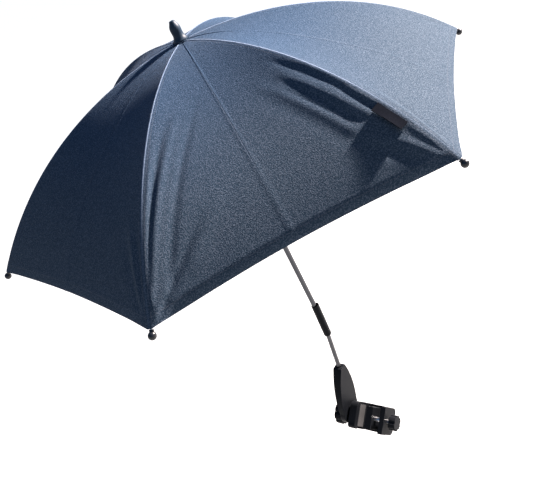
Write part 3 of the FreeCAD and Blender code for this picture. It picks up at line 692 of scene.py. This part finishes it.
LABEL_RIB = FRONT_RIGHT_RIB
LABEL_SIDE = -1
LABEL_PLACE_SHARE = 0.793
LABEL_LENGTH = 0.037
LABEL_WIDTH = 0.012
LABEL_THICKNESS = 0.0008
LABEL_SEAM_OFFSET = 0.0026
LABEL_LIFT = 0.0003
LABEL_STAND_ANGLE = math.radians(16)
LABEL_STEPS_ALONG = 24
LABEL_STEPS_OUT = 12

# Curl of the label's free edge in millimetres, and its wave along the edge in radians
LABEL_CURL = 0.7
LABEL_WAVE = 0.5
LABEL_WAVE_ANGLE = 5
LABEL_WAVE_START = 0.6

# Rosette, in metres but for the counts and the share of its radius that waves
GATHERS = 13
GATHER_STEPS = 13
ROSETTE_RINGS = 10
ROSETTE_HOLE_RADIUS = 3.4 * MM
ROSETTE_THICKNESS = 0.5 * MM
ROSETTE_INSET = 0.25 * MM
ROSETTE_WAVE = 0.45 * MM
ROSETTE_EDGE_WAVE = 0.03

# Place of the rosette on the cloth's layouts, away from seams, creases and hem
ROSETTE_OFF_SEAM = 20 * MM
ROSETTE_OFF_HEM = 0.2
ROSETTE_GORE_SPOT = 0.5, 0.1


def flag_label():
    """Blank folded tape sewn into a seam, standing off the cloth with a slight curl."""
    half_share = LABEL_LENGTH / (2 * arc_length)
    seam, beside = (cover_point(LABEL_RIB, LABEL_PLACE_SHARE, LABEL_SIDE, spread)
                    for spread in (0, 0.5))
    upper, lower = (cover_point(LABEL_RIB, LABEL_PLACE_SHARE + end * half_share, LABEL_SIDE, 0)
                    for end in (-1, 1))
    down = (lower - upper).normalized()
    sideways = beside - seam
    sideways = (sideways - down * sideways.dot(down)).normalized()
    outward = sideways.cross(down)
    root = seam + sideways * LABEL_SEAM_OFFSET + outward * (LABEL_LIFT + LABEL_THICKNESS)
    across = sideways * math.cos(LABEL_STAND_ANGLE) + outward * math.sin(LABEL_STAND_ANGLE)
    proud = across.cross(down)
    rows, places = [], []
    for i in range(LABEL_STEPS_ALONG + 1):
        along = LABEL_LENGTH * (i / LABEL_STEPS_ALONG - 0.5)
        wave = math.sin(LABEL_WAVE_ANGLE * along / LABEL_LENGTH + LABEL_WAVE_START)
        row, spots = [], []
        for j in reversed(range(LABEL_STEPS_OUT + 1)):
            out = j / LABEL_STEPS_OUT
            curl = MM * out ** 2 * (LABEL_CURL + LABEL_WAVE * wave)
            point = root + down * along + across * LABEL_WIDTH * out + proud * curl
            row.append(rib_turned(point, LABEL_RIB))
            spots.append((LABEL_WIDTH * out, along))
        rows.append(row)
        places.append(spots)
    piece = new_piece("flag_tape", thin_shell(rows, LABEL_THICKNESS, {"cloth": places}), LABEL)
    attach(piece, f"rib_arm_{LABEL_RIB}")
    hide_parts("flag_label")


def rosette():
    """Gathered ring of cover cloth between the finial and the cover."""
    low, high = (Vector(corner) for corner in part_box("rosette"))
    middle = (low + high) / 2
    outer = (high.x - low.x) / 2
    inner = ROSETTE_HOLE_RADIUS
    spokes = GATHER_STEPS * GATHERS
    rows, places = [], []
    for i in range(ROSETTE_RINGS):
        out = i / (ROSETTE_RINGS - 1)
        row, spots = [], []
        for j in range(spokes):
            turn = 2 * math.pi * j / spokes
            wave = math.cos(GATHERS * turn + 1.5 * math.sin(2 * turn))
            edge = 1 - ROSETTE_EDGE_WAVE + ROSETTE_EDGE_WAVE * wave
            radius = inner + (outer - inner) * out * edge
            lift = high.z - ROSETTE_INSET + ROSETTE_WAVE * wave * out
            row.append(Vector((middle.x + radius * math.cos(turn),
                               middle.y + radius * math.sin(turn), lift)))
            spots.append((ROSETTE_OFF_SEAM + radius * turn, ROSETTE_OFF_HEM + radius))
        rows.append(row)
        places.append(spots)
    plain = [[ROSETTE_GORE_SPOT] * spokes for _ in rows]
    shell = thin_shell(rows, ROSETTE_THICKNESS, {"cloth": places, "gore": plain}, closed=True)
    piece = new_piece("gathered_rosette", shell, CLOTH, SHARP_CLOTH_ANGLE)
    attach(piece, "shaft")
    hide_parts("rosette")
    closed_rows = [row + row[:1] for row in rows]
    sheet_area(closed_rows)


flag_label()
rosette()


# Carried-over solids and their finishes

FINISHES = {
    GLOSS_BLACK: [f"rib_tip_{rib}" for rib in RIBS],
    FINIAL_NAVY: ["finial"],
    SATIN_BLACK: ["pole_holder", "pivot_knob", "clamp_body", "moving_jaw", "screw_knob",
                  "tilt_sleeve", "crown", "runner"],
    GREY_PLASTIC: ["foot_plug", "friction_disc"],
    BRIGHT_TUBE: ["shaft_tube"],
    SATIN_TUBE: ["lower_pole"],
    ZINC_STEEL: ["crown_wire", "runner_catch", "pivot_bolt", "pivot_washer", "clamp_screw",
                 "clamp_nut", "tilt_pin", "tilt_fork", "tilt_tongue",
                 *(f"{kind}_{rib}" for kind in ("rib", "stretcher", "rib_rivet") for rib in RIBS)],
    BRASS: ["knob_insert"],
    RUBBER: ["clamp_pad", "jaw_pad"],
}
for material, names in FINISHES.items():
    for name in names:
        nodes[name].data.materials.clear()
        nodes[name].data.materials.append(material)


# Moulded solids whose hard edges are rounded off, with the radius in millimetres
SOFT_EDGES = {"pole_holder": 1.2, "pivot_knob": 0.8, "clamp_body": 1.0, "moving_jaw": 0.9,
              "screw_knob": 0.7, "tilt_sleeve": 0.6, "crown": 0.4, "runner": 0.6}

# What counts as one point, as one flat face and as a hard edge of a solid
WELD_DISTANCE = 0.01 * MM
FLAT_ANGLE = math.radians(1)
HARD_ANGLE = math.radians(32)


def softened(name, radius):
    """Moulded piece in place of a solid, the same but for its rounded edges."""
    solid = nodes[name]
    bm = bmesh.new()
    bm.from_mesh(solid.data)
    bm.transform(solid.matrix_world)
    bmesh.ops.remove_doubles(bm, verts=bm.verts, dist=WELD_DISTANCE)
    bmesh.ops.dissolve_limit(bm, angle_limit=FLAT_ANGLE, verts=bm.verts, edges=bm.edges)
    hard = [edge for edge in bm.edges if edge.is_manifold and edge.calc_face_angle() > HARD_ANGLE]
    bmesh.ops.bevel(bm, geom=hard, offset=radius * MM, segments=2, profile=0.5, affect="EDGES",
                    clamp_overlap=True)
    piece = new_piece(f"{name}_moulding", bm, solid.data.materials[0], SHARP_MOULDING_ANGLE)
    piece.modifiers.new("even_shading", "WEIGHTED_NORMAL").keep_sharp = True
    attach(piece, body_of(solid)[0])
    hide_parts(name)


for name, radius in SOFT_EDGES.items():
    softened(name, radius)


# Studio

# Floor, in metres
FLOOR_HALF_SIZE = 40
FLOOR_CLEARANCE = 0.25

# Camera: its place from the middle of the hem, its sideways and forward directions, and its lens
# in millimetres
CAMERA_PLACE = Vector((-0.0612, -0.8636, 0.3517))
CAMERA_RIGHT = Vector((0.8759, -0.2756, -0.3960))
CAMERA_AHEAD = Vector((0.0413, 0.8606, -0.5077))
SENSOR_WIDTH = 36
FOCAL_LENGTH = 45.42


def studio():
    """Pale floor, a key from the right, and an even sky."""
    bm = bmesh.new()
    bmesh.ops.create_grid(bm, x_segments=12, y_segments=12, size=FLOOR_HALF_SIZE)
    floor = new_piece("floor", bm, studio_floor())
    floor.location = (0, 0, cad_box[0][2] - FLOOR_CLEARANCE)
    soft_light("key", apex - Vector((0, 0, CANOPY_DEPTH / 2)), azimuth=9.5, elevation=25.3,
               distance=2.6, size=0.14, power=730, colour=(1, 0.87, 0.80))
    bpy.context.scene.world = sky()


def soft_light(name, target, azimuth, elevation, distance, size, power, colour):
    """Square area light that faces a target, placed by its angles in degrees."""
    turn, climb = math.radians(azimuth), math.radians(elevation)
    heading = Vector((math.cos(climb) * math.cos(turn), math.cos(climb) * math.sin(turn),
                      math.sin(climb)))
    data = bpy.data.lights.new(name, "AREA")
    data.size = size
    data.energy = power
    data.color = colour
    light = bpy.data.objects.new(name, data)
    light.location = target + heading * distance
    light.rotation_euler = heading.to_track_quat("Z", "Y").to_euler()
    bpy.context.scene.collection.objects.link(light)


def camera():
    """Camera at the photograph's viewing angle, rolled to the leaning shaft."""
    hem_middle = apex - Vector((0, 0, CANOPY_DEPTH))
    right = CAMERA_RIGHT.normalized()
    ahead = (CAMERA_AHEAD - right * CAMERA_AHEAD.dot(right)).normalized()
    data = bpy.data.cameras.new("camera")
    data.sensor_width = SENSOR_WIDTH
    data.lens = FOCAL_LENGTH
    data.clip_end = 100
    eye = bpy.data.objects.new("camera", data)
    turn = Matrix((right, right.cross(ahead), -ahead)).transposed()
    eye.matrix_world = Matrix.Translation(hem_middle + CAMERA_PLACE) @ turn.to_4x4()
    bpy.context.scene.collection.objects.link(eye)
    bpy.context.scene.camera = eye


studio()
camera()
bpy.context.scene.view_settings.view_transform = "Standard"
